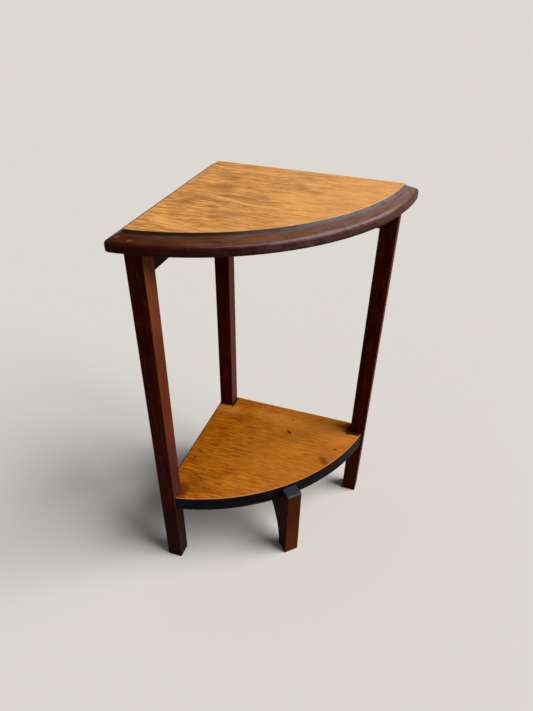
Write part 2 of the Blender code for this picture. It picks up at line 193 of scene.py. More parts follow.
# Marks in the finish, with patches of painted light and painted shadow on the shelf, in millimetres and
# degrees: place along X and Y, length, width, turn from X
MARK_REACH = 1000 * MM
MARK_RAGGED = -1.0
TOP_STAINS = [
    (-84, 69, 34, 22, -10),
    (-77, 27, 30, 22, 0),
    (-88, -13, 20, 12, 0),
    (10, 58, 20, 10, 0),
    (28, 50, 22, 10, -10),
    (-43, -49, 34, 18, 0),
    (-37, -2, 60, 9, -12),
]
TOP_LIGHTS = [
    (8, 22, 46, 24, 0),
    (26, 2, 26, 16, 0),
    (-100, -85, 30, 14, 0),
    (60, 60, 40, 10, -5),
    (-60, 98, 70, 14, 0),
    (20, -54, 24, 8, 20),
]
TOP_STROKES = [(-20, -28, 9, 2.4, -12), (-62, 2, 6, 2, -10)]
EDGE_WEAR = [(90.7, 15.5, 2.6, 2, 60), (-110.5, -129.6, 5, 1.8, 20), (-125.0, -128.6, 5, 2.2, 40)]
EDGE_WARMTH = [(8.4, -80.5, 34, 6, 34), (117.6, 52.7, 26, 3.4, 70), (-50, -115, 30, 5, 14)]
EDGE_NICKS = [(78.7, -19.6, 4.6, 1.4, -37), (54.8, -47.0, 4.6, 1.4, -44)]
SHELF_STAINS = [
    (76, 24, 8, 12, 40),
    (87, 54, 5, 5, 0),
    (-82, 76, 40, 16, 0),
    (-33, 108, 26, 8, 0),
    (-92, -74, 30, 14, 0),
    (-67, -60, 22, 12, 0),
    (-84, -90, 46, 18, 10),
]
# Patches of painted light toward the back of the shelf
SHELF_PAINTED_LIGHT = [(-104, 92, 40, 26, 0), (-10, 94, 90, 24, -6), (76, 87, 60, 34, -8)]
SHELF_KNOTS = [(76, 24, 13, 20, 40), (87, 54, 5, 5, 0), (7.5, 69, 14, 6, -45)]
# Painted shadow round the feet of the legs
SHELF_CONTACT_SHADOWS = [(-104, -105, 40, 50, 0), (111, 111, 32, 18, 0)]
SHELF_SMEARS = [
    (7.5, 69, 6, 2.4, -45),
    (5, 99, 4, 2, -20),
    (-111, -34, 3, 2.6, 0),
    (110, 101, 34, 7, 0),
    (98, 106, 8, 18, 0),
    (-113, 102.5, 25, 5, 0),
    (-102, 113, 4, 24, 0),
]


class Figure(NamedTuple):
    """How a board's figure is drawn: the width of its grain, and how strongly each part of it shows."""

    seed: float
    coarseness: float
    bands: float
    growth: float
    blotches: float
    # Strength and reach along X of the painted reflection toward the right
    gleam: float
    gleam_reach: tuple
    lines: float = 0.8
    flecks: float = 0.9
    mottle: float = 0.3


TOP_FIGURE = Figure(
    seed=2.0,
    coarseness=0.8,
    bands=0.75,
    growth=0.32,
    blotches=0.4,
    gleam=0.42,
    gleam_reach=(-50 * MM, 140 * MM),
)
SHELF_FIGURE = Figure(
    seed=41.0,
    coarseness=0.9,
    bands=0.9,
    growth=0.5,
    blotches=0.25,
    gleam=0.32,
    gleam_reach=(-80 * MM, 80 * MM),
)

# Sockets of a Mix node that blends colours
MIX_FACTOR, MIX_UNDER, MIX_OVER, MIX_RESULT = 0, 6, 7, 2


def linear_colour(code):
    """An sRGB hex colour as linear red, green and blue."""
    channels = [int(code[start : start + 2], 16) / 255 for start in (0, 2, 4)]
    return [c / 12.92 if c <= 0.04045 else ((c + 0.055) / 1.055) ** 2.4 for c in channels]


def colour_property(name, code, description):
    return FloatVectorProperty(
        name=name, description=description, subtype="COLOR", default=linear_colour(code), min=0, max=1
    )


def length_property(name, millimetres, description):
    kind = {"unit": "LENGTH", "subtype": "DISTANCE", "min": 0, "precision": 4}
    return FloatProperty(name=name, description=description, default=millimetres * MM, **kind)


def angle_property(name, degrees, description):
    return FloatProperty(name=name, description=description, default=math.radians(degrees), subtype="ANGLE")


def gloss_property(share):
    return FloatProperty(name="Gloss", description="Shine of the varnish", default=share, min=0, max=1)


class TopSettings(bpy.types.PropertyGroup):
    """Sizes and colours of the top board."""

    arc_radius: length_property("Arc radius", 288, "Radius of the round edge")
    edge_width: length_property("Edge width", 15.5, "Width of the moulded edge round the raised centre")
    rim_round: length_property("Rim round", 0.6, "Rounding of the raised centre's rim")
    fillet_run: length_property("Fillet run", 1.5, "Width of the step at the foot of the raised centre")
    fillet_drop: length_property("Fillet drop", 3, "Height of the raised centre above the moulding")
    slope_angle: angle_property("Slope", 26, "Slope of the moulding")
    nose_radius: length_property("Nose radius", 5, "Radius of the moulding's nose")
    underside_chamfer: length_property("Underside chamfer", 1, "Chamfer round the underside")
    mitre_round: length_property("Mitre round", 0.7, "Wear on the moulding's mitred corners")
    tip_round: length_property("Tip round", 5, "Rounding of the two tips of the round edge")
    tip_steps: IntProperty(name="Tip steps", description="Divisions of each rounded tip", default=8, min=3)
    unevenness: length_property("Unevenness", 0.12, "How far the hand-finished nose strays")
    arc_steps: IntProperty(name="Arc steps", description="Divisions of the round edge", default=120, min=24)
    nose_steps: IntProperty(name="Nose steps", description="Divisions of the nose", default=10, min=4)
    rim_width: length_property("Rim width", 0.8, "Width of the worn rim of the raised centre")
    gloss: gloss_property(0.03)
    honey: colour_property("Honey", "d79040", "Varnished wood of the raised centre")
    pale: colour_property("Pale grain", "f2af62", "Light early wood between the grain lines")
    brown: colour_property("Brown grain", "a46326", "Dark late wood in the grain lines")
    smudge: colour_property("Smudge", "8a5a28", "Old stains in the varnish")
    # Painted reflection: a paler, bluer tone laid over the field toward the right
    gleam: colour_property("Bloom", "fbb871", "Paler, milkier varnish toward the right")
    stroke: colour_property("Stroke", "4e3218", "Short dark strokes in the grain")
    # Partly wear, partly a painted highlight along the rounded rim of the raised centre
    rim: colour_property("Rim", "f8b860", "Worn rim of the raised centre")
    edge: colour_property("Edge stain", "4a2412", "Dark stain of the moulding")
    edge_streak: colour_property("Edge streak", "643620", "Lighter streaks along the moulding")
    # Dark streaks, and also painted shade over the moulding's left end
    edge_shade: colour_property("Edge shade", "30140a", "Darker streaks along the moulding")
    # Painted reflections: greyer, lighter tones laid over the moulding toward the right
    edge_reflection: colour_property("Dulled edge", "7c5a48", "Lighter, rubbed stain toward the right")
    edge_gleam: colour_property("Edge bloom", "8c8288", "Greyish bloom near the right tip of the moulding")
    nose_shade: colour_property("Nose shade", "34100c", "Redder stain under the moulding's nose")
    # Painted light: a lighter tone laid under the nose toward the right
    nose_painted_light: colour_property("Nose light", "50332d", "Worn, lighter stain under the nose at the right")
    # Painted highlight: a greyish line along the moulding's arris
    arris: colour_property("Arris", "9a8288", "Greyish bloom along the rubbed arris of the moulding")
    # Dark stain in the step, laid out over the incline beside it as painted shade
    fillet: colour_property("Step line", "2a1e17", "Dark line in the step")
    # Painted reflections on the step line: bluish toward the right, darker at its right tip
    fillet_reflection: colour_property("Step sheen", "6e6a75", "Bluish bloom on that line toward the right")
    fillet_tip_reflection: colour_property("Step tip", "464a58", "Darker bloom on that line at its right tip")
    # Dark nicks, and a darker tone toward the bottom of the nose
    nick: colour_property("Nick", "1c1210", "Dark nicks across the arris")
    underside: colour_property("Underside", "3a2a20", "Thin brown stain of the underside")
    worn: colour_property("Worn stain", "94502c", "Wood that shows where the moulding is scuffed")


class ShelfSettings(bpy.types.PropertyGroup):
    """Sizes and colours of the shelf."""

    arc_radius: length_property("Arc radius", 291, "Radius of the round edge")
    arc_beyond: length_property("Arc centre", 39.7, "How far past the corner the arc's centre lies")
    edge_band: length_property("Edge band", 0.9, "How far the black edge laps onto the top")
    rim_width: length_property("Rim width", 1.4, "Width of the worn rim beside the black edge")
    gloss: gloss_property(0.02)
    honey: colour_property("Honey", "ad5b03", "Varnished wood of the shelf")
    pale: colour_property("Pale grain", "c4720e", "Light early wood between the grain lines")
    brown: colour_property("Brown grain", "7e3c01", "Dark late wood in the grain lines")
    smudge: colour_property("Smudge", "5c2c08", "Old stains in the varnish")
    # Painted reflection: a paler tone laid over the field toward the right, and in patches of painted light
    # toward the back
    gleam: colour_property("Bloom", "da8c3c", "Paler, milkier varnish toward the right")
    # Partly wear, partly a painted highlight along the rounded rim beside the black edge
    rim: colour_property("Rim", "e89a48", "Worn rim beside the black edge")
    black: colour_property("Black edge", "0a080a", "Black stain on the shelf's edge")
    # Painted sheen: lighter streaks standing in for highlights on the black edge
    black_sheen: colour_property("Edge sheen", "2a282c", "Faint lighter streaks along the black edge")
    # Red-brown knots, and the painted shadow round the feet of the legs
    knot_and_shadow: colour_property("Knot", "5c2206", "Red-brown knots, and grime against the legs")


class LegSettings(bpy.types.PropertyGroup):
    """Colours of the legs, the foot and the rails."""

    gloss: gloss_property(0.02)
    stain: colour_property("Stain", "54160b", "Red-brown stain of the legs")
    streak: colour_property("Streak", "843622", "Light streaks in the stain")
    # Dark streaks, and also the painted shade on the foot's left face
    shade: colour_property("Shade", "300a06", "Dark streaks in the stain")
    worn: colour_property("Worn arris", "8c4a30", "Stain worn thin along the arrises")
    # Painted light and reflection on the legs' sides toward the window: browner on each side, lightest high
    # on the left leg, greyer on the back leg, greyer and darker low on the left leg
    sunlit: colour_property("Faded stain", "84482a", "Browner, faded stain on the side toward the window")
    lit_high: colour_property("Sunned stain", "b4622f", "Stain bleached most, high on the left leg")
    lit_grey: colour_property("Cool stain", "5c3a2d", "Greyer, faded stain on the back leg's side")
    lit_low: colour_property("Dusky stain", "3e2425", "Greyer, darker stain low on the left leg's side")
    # Grime at the shelf and on the foot, and painted shade under the shelf on the back and left legs
    grime_and_shade: colour_property("Grime", "1c0a07", "Grime low on the legs and where they meet the shelf")
    brown: colour_property("Brown stain", "64300a", "Browner stain on the foot and low on the right leg")
    rail: colour_property("Rail stain", "34241c", "Brown stain of the rails")
    # The foot's black end, made greyer and bluer by a painted reflection, with a painted highlight on its
    # arris
    end_black: colour_property("Foot's top", "343338", "Black stain on the end of the foot")
    end_highlight: colour_property("Foot's arris", "494e5b", "Bluish bloom on the rubbed arris of the foot's top")
    chip: colour_property("Chip", "a8703c", "Bare wood in a small chip")
    black_depth: length_property("Black depth", 3.5, "How far the black runs down from the foot's top")


class FixingSettings(bpy.types.PropertyGroup):
    """Sizes and colours of the screws and dowels."""

    thread_height: length_property("Thread height", 0.5, "How far the thread stands off the shank")
    thread_pitch: length_property("Thread pitch", 1.8, "Rise of the thread in one turn")
    recess_width: length_property("Recess width", 4.2, "Span of the cross recess")
    recess_slot: length_property("Recess slot", 0.9, "Width of each arm of the cross recess")
    recess_depth: length_property("Recess depth", 1.5, "Depth of the cross recess")
    zinc: colour_property("Zinc", "b9bbbd", "Zinc plating of the screws")
    zinc_shade: colour_property("Zinc shade", "929496", "Dull patches in the zinc plating")
    beech: colour_property("Beech", "cfb083", "Bare wood of the dowels")
    beech_fleck: colour_property("Beech fleck", "b08c5c", "Flecks in the bare wood")


class StageSettings(bpy.types.PropertyGroup):
    """Floor, lights and camera."""

    floor: colour_property("Floor", "e4e1dc", "Pale floor as the camera sees it")
    floor_bounce: colour_property("Floor bounce", "5f5951", "Floor as it throws light on the stand")
    backdrop: colour_property("Backdrop", "d6d4d0", "World behind the floor as the camera sees it")
    key: FloatProperty(name="Key", description="Share of full light from the window", default=1.2, min=0)
    key_azimuth: angle_property("Key azimuth", 8, "Turn of the window light from the right towards the back")
    key_elevation: angle_property("Key elevation", 42, "Height of the window light above the horizon")
    key_spread: angle_property("Key spread", 50, "How wide the window looks, which softens the shadows")
    sky: FloatProperty(name="Sky", description="Even light from all round", default=0.13, min=0)


class StandSettings(bpy.types.PropertyGroup):
    """All the stand's settings."""

    top: PointerProperty(type=TopSettings, name="Top", description="The top board")
    shelf: PointerProperty(type=ShelfSettings, name="Shelf", description="The shelf")
    legs: PointerProperty(type=LegSettings, name="Legs", description="The legs, foot and rails")
    fixings: PointerProperty(type=FixingSettings, name="Fixings", description="The screws and dowels")
    stage: PointerProperty(type=StageSettings, name="Stage", description="The studio")


def add_node(tree, kind, inputs=(), **settings):
    """Adds a shader node with its settings, fills its inputs by name or in order, and gives its outputs."""
    node = tree.nodes.new(f"ShaderNode{kind}")
    for name, value in settings.items():
        setattr(node, name, value)
    named = inputs if isinstance(inputs, dict) else dict(enumerate(inputs))
    for name, value in named.items():
        if isinstance(value, bpy.types.NodeSocket):
            tree.links.new(value, node.inputs[name])
        else:
            node.inputs[name].default_value = value
    return node.outputs


def new_material(name):
    """An empty material, the tree to build it in, and the place of a point on its object."""
    material = bpy.data.materials.new(name)
    material.use_nodes = True
    tree = material.node_tree
    tree.nodes.clear()
    return material, tree, add_node(tree, "TexCoord")["Object"]


def finish_material(tree, surface, texture, relief, depth):
    """Joins a shader's inputs to the output, with a bump of that depth in metres from a factor.

    A pair of roughnesses makes the surface pass from the first to the second as a texture rises.
    """
    if isinstance(surface["Roughness"], tuple):
        roughness = add_node(tree, "MapRange", (texture, *GRAIN_RANGE, *surface["Roughness"]))[0]
        surface = {**surface, "Roughness": roughness}
    bump = add_node(tree, "Bump", {"Height": relief, "Distance": depth, "Strength": 1.0})[0]
    shader = add_node(tree, "BsdfPrincipled", {**surface, "Normal": bump})[0]
    add_node(tree, "OutputMaterial", [shader])


def stained_wood(colour, roughness, gloss):
    """What the shader takes in for stained wood."""
    return {"Base Color": colour, "Roughness": roughness, "IOR": WOOD_IOR, "Specular IOR Level": gloss}


def opaque(colour):
    return (*colour, 1)


def streaks(tree, place, run, across, detail, warp=0.0, seed=0.0):
    """Streaks that long and that wide in millimetres, along X, as a factor from 0 to 1."""
    scale = (1 / (run * MM), 1 / (across * MM), 1 / (across * MM))
    scaled = add_node(tree, "Mapping", {"Vector": place, "Location": (seed, seed, seed), "Scale": scale})[0]
    fineness = {"Scale": 1.0, "Detail": detail, "Roughness": NOISE_ROUGHNESS, "Distortion": warp}
    return add_node(tree, "TexNoise", {"Vector": scaled, **fineness})["Fac"]


def stain(tree, factor, start, full, under, over, strength=1.0):
    """Lays one colour over another as a factor passes from start to full, at most as thick as strength."""
    passing = (factor, start, full, 0, strength)
    spread = add_node(tree, "MapRange", passing, interpolation_type="SMOOTHSTEP")[0]
    colours = {MIX_FACTOR: spread, MIX_UNDER: under, MIX_OVER: over}
    return add_node(tree, "Mix", colours, data_type="RGBA")[MIX_RESULT]


def as_colour(palette, colour):
    """The colour of the setting with that name, or a colour that other nodes make, as it is."""
    return opaque(getattr(palette, colour)) if isinstance(colour, str) else colour


def lay_coats(tree, palette, base, coats):
    """Stains a colour in coats, each with a factor, where it starts and is full, its colour and strength."""
    laid = as_colour(palette, base)
    for factor, start, full, colour, strength in coats:
        laid = stain(tree, factor, start, full, laid, as_colour(palette, colour), strength)
    return laid


def arc_centre(low, high, beyond):
    return Vector((low.x - beyond, high.y + beyond, 0))


def top_beyond(radius):
    """How far past the top's corner the centre of its round edge lies, along X and along Y."""
    side = TOP_HIGH.x - TOP_LOW.x
    return (math.sqrt(2 * radius**2 - side**2) - side) / 2


def edge_measures(tree, place, low, high, radius, beyond):
    """A place's insets from the nearest, the round and the left edge, its run along the edge, its X and Z."""
    x, y, z = add_node(tree, "SeparateXYZ", [place])
    flat = add_node(tree, "CombineXYZ", (x, y))[0]
    centre = arc_centre(low, high, beyond)
    offset = add_node(tree, "VectorMath", (flat, centre), operation="SUBTRACT")[0]
    reach = add_node(tree, "VectorMath", [offset], operation="LENGTH")["Value"]
    from_round = add_node(tree, "Math", (radius, reach), operation="SUBTRACT")[0]
    from_back = add_node(tree, "Math", (high.y, y), operation="SUBTRACT")[0]
    from_left = add_node(tree, "Math", (x, low.x), operation="SUBTRACT")[0]
    from_walls = add_node(tree, "Math", (from_back, from_left), operation="MINIMUM")[0]
    inset = add_node(tree, "Math", (from_round, from_walls), operation="MINIMUM")[0]
    rightward, backward, _ = add_node(tree, "SeparateXYZ", [offset])
    turn = add_node(tree, "Math", (backward, rightward), operation="ARCTAN2")[0]
    arc_run = add_node(tree, "Math", (turn, radius), operation="MULTIPLY")[0]
    wall_run = add_node(tree, "Math", (x, y), operation="ADD")[0]
    on_round = add_node(tree, "Math", (from_round, from_walls), operation="LESS_THAN")[0]
    run = add_node(tree, "Mix", {0: on_round, 2: wall_run, 3: arc_run}, data_type="FLOAT")[0]
    along = add_node(tree, "CombineXYZ", (run, inset, z))[0]
    return inset, from_round, from_left, along, x, z


def marks(tree, place, spots, ragged):
    """Oval spots on a board with ragged edges, as a distance that is under 1 inside a spot."""
    nearest = None
    for x, y, length, width, turn in spots:
        spot = {
            "Vector": place,
            "Location": (x * MM, y * MM, 0),
            "Rotation": (0, 0, math.radians(turn)),
            "Scale": (length * MM / 2, width * MM / 2, MARK_REACH),
        }
        local = add_node(tree, "Mapping", spot, vector_type="TEXTURE")[0]
        away = add_node(tree, "VectorMath", [local], operation="LENGTH")["Value"]
        if nearest is not None:
            away = add_node(tree, "Math", (nearest, away), operation="MINIMUM")[0]
        nearest = away
    return add_node(tree, "Math", (ragged, MARK_RAGGED, nearest), operation="MULTIPLY_ADD")[0]


def board_figure(tree, place, x, colours, figure):
    """Colour and grain of a flat-sawn varnished board, its grain along X and its growth lines in slow curves.

    Real growth lines and pores are finer than the picture can show, so they are drawn as coarse as it needs.
    """
    seed = figure.seed
    drift = streaks(tree, place, 120, 48, 1.5, 0.0, seed)
    shift = add_node(tree, "VectorMath", {0: (0, GRAIN_SWAY, 0), "Scale": drift}, operation="SCALE")[0]
    bent = add_node(tree, "VectorMath", (place, shift), operation="ADD")[0]
    bands = streaks(tree, bent, 110, 9, 2.0, 0.3, seed)
    lines = streaks(tree, bent, 60, 2.4 * figure.coarseness, 4.0, 0.2, seed + 3)
    flecks = streaks(tree, bent, 20, 1.7 * figure.coarseness, 2.0, 0.0, seed + 5)
    blotches = streaks(tree, place, 40, 26, 4.0, 0.5, seed + 7)
    mottle = streaks(tree, place, 14, 9, 3.0, 0.4, seed + 11)
    across = add_node(tree, "SeparateXYZ", [bent])[1]
    level = add_node(tree, "Math", (across, 1 / GROWTH_SPACING, lines), operation="MULTIPLY_ADD")[0]
    growth = add_node(tree, "Math", (level, 0.5), operation="PINGPONG")[0]
    # Painted reflection: a ramp across X, wandering with the mottle, along which a paler tone is laid toward
    # the right
    gleam_ramp = add_node(tree, "Math", (mottle, GLEAM_SWAY, x), operation="MULTIPLY_ADD")[0]
    coats = [
        (bands, 0.38, 0.62, "pale", figure.bands),
        (growth, 0.24, 0.46, "brown", figure.growth),
        (growth, 0.10, 0.02, "pale", figure.growth),
        (lines, 0.48, 0.60, "brown", figure.lines),
        (flecks, 0.49, 0.60, "brown", figure.flecks),
        (flecks, 0.46, 0.36, "pale", figure.flecks),
        (mottle, 0.46, 0.68, "pale", figure.mottle),
        (blotches, 0.50, 0.34, "pale", figure.blotches),
        (blotches, 0.50, 0.70, "smudge", figure.blotches),
        # Painted reflection toward the right
        (gleam_ramp, *figure.gleam_reach, "gleam", figure.gleam),
    ]
    return lay_coats(tree, colours, "honey", coats), lines, flecks, mottle


def off_arris_highlight(tree, x, inset, lines, blots):
    """How far a place lies off the line of the moulding's painted arris highlight, less where that highlight
    spreads.
    """
    arris = add_node(tree, "MapRange", (x, *ARRIS_SHIFT, *ARRIS_INSETS))[0]
    away = add_node(tree, "Math", (inset, arris), operation="SUBTRACT")[0]
    away = add_node(tree, "Math", [away], operation="ABSOLUTE")[0]
    toward_right = add_node(tree, "MapRange", (x, *ARRIS_SPREAD))[0]
    toward_tip = add_node(tree, "MapRange", (x, *ARRIS_TIP))[0]
    for factor, millimetres in ((toward_right, -2.2), (lines, 1.6), (blots, 1.6), (toward_tip, 2.5)):
        away = add_node(tree, "Math", (factor, millimetres * MM, away), operation="MULTIPLY_ADD")[0]
    return away


def moulding_colour(tree, settings, place, along, lines, inset, x, z):
    """The moulding's stain, redder under the nose and rubbed; over it painted reflections grey it toward the
    right, painted light lifts the nose there, painted shade darkens its left end and right tip, a painted
    highlight runs along the arris, and a dark step line carries painted shade and reflection.
    """
    bands = streaks(tree, along, 40, 4, 2.0, 0.3, 23.0)
    scuffs = streaks(tree, along, 8, 3.2, 3.0, 0.3, 27.0)
    blots = streaks(tree, along, 14, 7, 3.0, 0.5, 29.0)
    patchy = add_node(tree, "Math", (bands, EDGE_SWAY, x), operation="MULTIPLY_ADD")[0]
    rubbed = add_node(tree, "Math", (scuffs, EDGE_SWAY, x), operation="MULTIPLY_ADD")[0]
    nose_foot = [TOP_LOW.z + height for height in NOSE_FOOT]
    coats = [
        # Painted light under the nose toward the right
        (patchy, 0.06, 0.24, "nose_painted_light", 1),
        (lines, 0.50, 0.66, "edge", 0.5),
        (blots, 0.50, 0.62, "edge_shade", 0.6),
        (rubbed, 0.22, 0.32, "worn", 0.2),
        # Darker toward the bottom of the nose
        (z, *nose_foot, "nick", 0.6),
    ]
    nose = lay_coats(tree, settings, "nose_shade", coats)
    coats = [
        # Bluish painted reflection on the step line toward the right
        (x, *STEP_REFLECTION, "fillet_reflection", 1),
        (blots, 0.46, 0.66, "fillet", 0.35),
        # Darker painted reflection on the step line at its right tip
        (x, *STEP_TIP_REFLECTION, "fillet_tip_reflection", 0.8),
    ]
    step = lay_coats(tree, settings, "fillet", coats)
    nose_band = [TOP_HIGH.z - depth for depth in NOSE_DEPTHS]
    underside = [TOP_LOW.z + height for height in UNDERSIDE_HEIGHTS]
    coats = [
        (bands, 0.40, 0.64, "edge_shade", 0.75),
        # Painted reflections greying the moulding toward the right
        (patchy, 0.03, 0.20, "edge_reflection", 0.66),
        (patchy, 0.18, 0.30, "edge_gleam", 0.28),
        (lines, 0.44, 0.66, "edge_streak", 0.6),
        (blots, 0.54, 0.70, "edge_shade", 0.35),
        (marks(tree, place, EDGE_WARMTH, scuffs), 1.4, 0.0, "worn", 0.25),
        # Painted shade toward the moulding's left end
        (patchy, -0.02, -0.08, "edge_shade", 0.45),
        (z, *nose_band, nose, 0.95),
        (scuffs, 0.60, 0.74, "worn", 0.28),
        # Painted highlight along the arris
        (off_arris_highlight(tree, x, inset, lines, blots), 1.6 * MM, -0.6 * MM, "arris", 0.7),
        (marks(tree, place, EDGE_WEAR, scuffs), 1.2, 0.4, "worn", 0.7),
        (marks(tree, place, EDGE_NICKS, scuffs), 1.1, 0.5, "nick", 0.4),
        # The step's dark line, reaching out over the incline as painted shade and painted reflection
        (inset, *STEP_INSETS, step, 1),
        # Painted shade over the moulding's right tip
        (x, *TIP_SHADE, "nose_shade", 0.35),
        (z, *underside, "underside", 1),
    ]
    return lay_coats(tree, settings, "edge", coats)


def top_material(settings):
    """Varnished pine with a spirit-stained moulding: a satin honey field inside a dark, streaked edge."""
    material, tree, place = new_material("varnished pine, stained edge")
    radius = settings.arc_radius
    measures = edge_measures(tree, place, TOP_LOW, TOP_HIGH, radius, top_beyond(radius))
    inset, from_round, _, along, x, z = measures
    field, lines, flecks, mottle = board_figure(tree, place, x, settings, TOP_FIGURE)
    rim_inner = settings.edge_width + settings.rim_width
    coats = [
        (marks(tree, place, TOP_STAINS, mottle), 1.3, 0.0, "smudge", 0.45),
        (marks(tree, place, TOP_LIGHTS, mottle), 1.3, 0.0, "pale", 0.6),
        (marks(tree, place, TOP_STROKES, flecks), 1.2, 0.5, "stroke", 0.5),
        # Worn rim with a painted highlight along it
        (from_round, rim_inner + 0.6 * MM, rim_inner, "rim", 0.4),
    ]
    field = lay_coats(tree, settings, field, coats)
    edge_lines = streaks(tree, along, 28, 1.4, 3.0, 0.2, 21.0)
    edge = moulding_colour(tree, settings, place, along, edge_lines, inset, x, z)
    inside = add_node(tree, "MapRange", (inset, *(settings.edge_width + past for past in RIM_BLEND)))[0]
    above = add_node(tree, "MapRange", (z, *(TOP_HIGH.z - depth for depth in RIM_DEPTHS)))[0]
    in_field = add_node(tree, "Math", (inside, above), operation="MULTIPLY")[0]
    colour = stain(tree, in_field, 0, 1, edge, field)
    texture = add_node(tree, "Mix", {0: in_field, 2: edge_lines, 3: flecks}, data_type="FLOAT")[0]
    relief = add_node(tree, "Mix", {0: in_field, 2: edge_lines, 3: lines}, data_type="FLOAT")[0]
    surface = stained_wood(colour, TOP_ROUGHNESS, settings.gloss)
    finish_material(tree, surface, texture, relief, TOP_RELIEF)
    return material


def shelf_material(settings):
    """Varnished pine with a black-stained edge: a deeper orange field with a painted reflection toward the
    right, painted light toward the back and painted shadow round the legs' feet, worn and given a painted
    highlight beside the black, whose streaks carry a painted sheen.
    """
    material, tree, place = new_material("varnished pine, blacked edge")
    radius = settings.arc_radius
    measures = edge_measures(tree, place, SHELF_LOW, SHELF_HIGH, radius, settings.arc_beyond)
    _, from_round, from_left, along, x, z = measures
    field, lines, flecks, mottle = board_figure(tree, place, x, settings, SHELF_FIGURE)
    # Painted sheen in streaks along the black edge
    ridges = streaks(tree, along, 40, 3, 3.0, 0.2, 47.0)
    edge = lay_coats(tree, settings, "black", [(ridges, 0.50, 0.62, "black_sheen", 0.7)])
    lapped = add_node(tree, "Math", (from_round, from_left), operation="MINIMUM")[0]
    ragged = add_node(tree, "Math", (flecks, -1.2 * MM, lapped), operation="MULTIPLY_ADD")[0]
    rim_inner = settings.edge_band + settings.rim_width
    coats = [
        (marks(tree, place, SHELF_STAINS, mottle), 1.3, 0.0, "smudge", 0.36),
        # Patches of painted light toward the back
        (marks(tree, place, SHELF_PAINTED_LIGHT, mottle), 1.3, 0.0, "gleam", 0.42),
        (marks(tree, place, SHELF_KNOTS, mottle), 1.0, 0.0, "knot_and_shadow", 0.48),
        # Painted shadow round the feet of the legs
        (marks(tree, place, SHELF_CONTACT_SHADOWS, mottle), 0.55, -0.3, "knot_and_shadow", 0.9),
        (marks(tree, place, SHELF_SMEARS, flecks), 1.1, 0.5, "black", 0.9),
        # Worn rim beside the black edge, with a painted highlight along it
        (from_round, rim_inner + 0.8 * MM, rim_inner, "rim", 0.6),
        (ragged, settings.edge_band, settings.edge_band - 0.5 * MM, "black", 1),
        (z, SHELF_HIGH.z - 0.5 * MM, SHELF_HIGH.z - 0.8 * MM, edge, 1),
    ]
    colour = lay_coats(tree, settings, field, coats)
    surface = stained_wood(colour, SHELF_ROUGHNESS, settings.gloss)
    finish_material(tree, surface, flecks, lines, SHELF_RELIEF)
    return material


def foot_coats(tree, colours, node, place, centred, lines, flecks, z):
    """The foot's own coats: painted shade on its left face, a browner front face, dirt toward its top, and
    black on its end with a painted highlight on its arris.
    """
    x, y, _ = add_node(tree, "SeparateXYZ", [centred])
    leftward = add_node(tree, "Math", (x, y), operation="ADD")[0]
    x, y, _ = add_node(tree, "SeparateXYZ", [place])
    forward = add_node(tree, "Math", (x, y), operation="SUBTRACT")[0]
    spill = add_node(tree, "Math", (flecks, 3 * MM, z), operation="MULTIPLY_ADD")[0]
    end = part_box(node)[1].z
    # Painted highlight on the arris of the foot's black end
    arris = (z, end - 0.1 * MM, end - 0.5 * MM, "end_highlight", 1)
    black = lay_coats(tree, colours, "end_black", [arris])
    black_foot = end - colours.black_depth
    return [
        # Painted shade on the foot's left face
        (leftward, FOOT_LEFT + 2 * MM, FOOT_LEFT + 1 * MM, "shade", 0.9),
        (forward, FOOT_FRONT - 2 * MM, FOOT_FRONT - 0.5 * MM, "brown", 0.7),
        (lines, 0.50, 0.64, "shade", 0.4),
        (z, 0.02, 0.09, "grime_and_shade", 0.45),
        (spill, black_foot + 1.5 * MM, black_foot + 2.2 * MM, black, 1),
    ]


